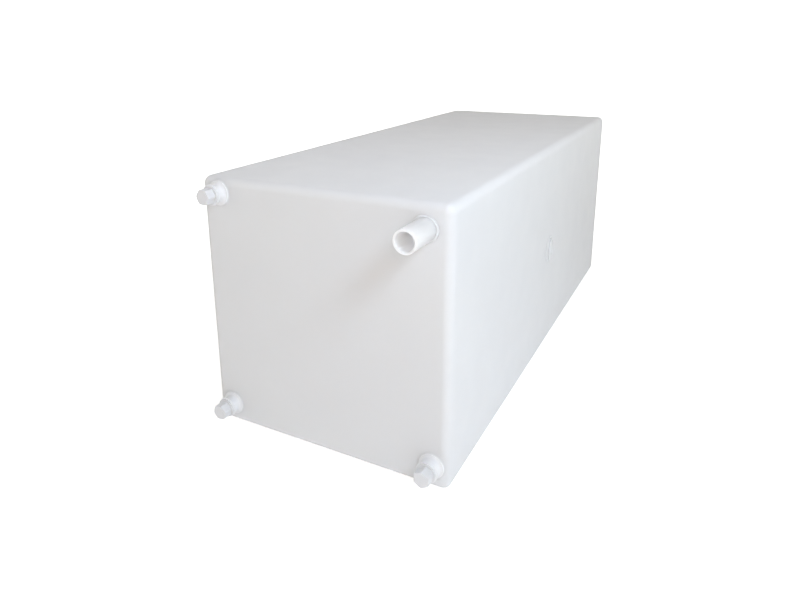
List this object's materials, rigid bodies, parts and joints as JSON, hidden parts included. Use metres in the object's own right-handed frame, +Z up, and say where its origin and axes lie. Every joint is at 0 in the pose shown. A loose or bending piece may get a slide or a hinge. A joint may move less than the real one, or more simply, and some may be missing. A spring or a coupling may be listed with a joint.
{
  "type": "fresh water tank",
  "caption": "Long rectangular moulded plastic water tank with a hose filling spout and screw-plugged threaded ports on one end.",
  "frame": {"origin": "centre of the tank's bottom face", "axes": "+Z up, +Y towards the plain rear end, -Y towards the end with the ports, +X to the right seen from that end"},
  "size_m": [0.4094, 1.0478, 0.4064],
  "materials": {
    "tank_wall": "natural translucent polyethylene, satin, faint moulding texture",
    "fittings": "natural polyethylene, injection moulded, smoother and slightly whiter than the tank",
    "plugs": "natural polypropylene, injection moulded",
    "gaskets": "white food-grade silicone"
  },
  "bodies": {
    "tank": {"tank_shell": "tank_wall", "fill_spout": "fittings", "vent_hole_blank": "tank_wall", "vent_socket": "fittings", "outlet_socket": "fittings", "drain_socket": "fittings"},
    "vent_gasket": {"vent_gasket": "gaskets"},
    "vent_plug": {"vent_plug": "plugs"},
    "outlet_gasket": {"outlet_gasket": "gaskets"},
    "outlet_plug": {"outlet_plug": "plugs"},
    "drain_gasket": {"drain_gasket": "gaskets"},
    "drain_plug": {"drain_plug": "plugs"}
  },
  "joints": [
    {"name": "vent_gasket_slide", "type": "slide", "parent": "tank", "child": "vent_gasket", "axis": [0, -1, 0], "range_m": [0, 0.0109]},
    {"name": "vent_plug_turn", "type": "hinge", "parent": "vent_gasket", "child": "vent_plug", "pos_m": [-0.1692, -0.5135, 0.3829], "axis": [0, -1, 0], "range_deg": [0, 2160]},
    {"name": "outlet_gasket_slide", "type": "slide", "parent": "tank", "child": "outlet_gasket", "axis": [0, -1, 0], "range_m": [0, 0.0109]},
    {"name": "outlet_plug_turn", "type": "hinge", "parent": "outlet_gasket", "child": "outlet_plug", "pos_m": [-0.1717, -0.5135, 0.0341], "axis": [0, -1, 0], "range_deg": [0, 2160]},
    {"name": "drain_gasket_slide", "type": "slide", "parent": "tank", "child": "drain_gasket", "axis": [0, -1, 0], "range_m": [0, 0.0109]},
    {"name": "drain_plug_turn", "type": "hinge", "parent": "drain_gasket", "child": "drain_plug", "pos_m": [0.1778, -0.5135, 0.0363], "axis": [0, -1, 0], "range_deg": [0, 2160]}
  ],
  "couplings": [
    {"joint": "vent_gasket_slide", "follows": "vent_plug_turn", "m_per_rad": 0.00028871},
    {"joint": "outlet_gasket_slide", "follows": "outlet_plug_turn", "m_per_rad": 0.00028871},
    {"joint": "drain_gasket_slide", "follows": "drain_plug_turn", "m_per_rad": 0.00028871}
  ]
}
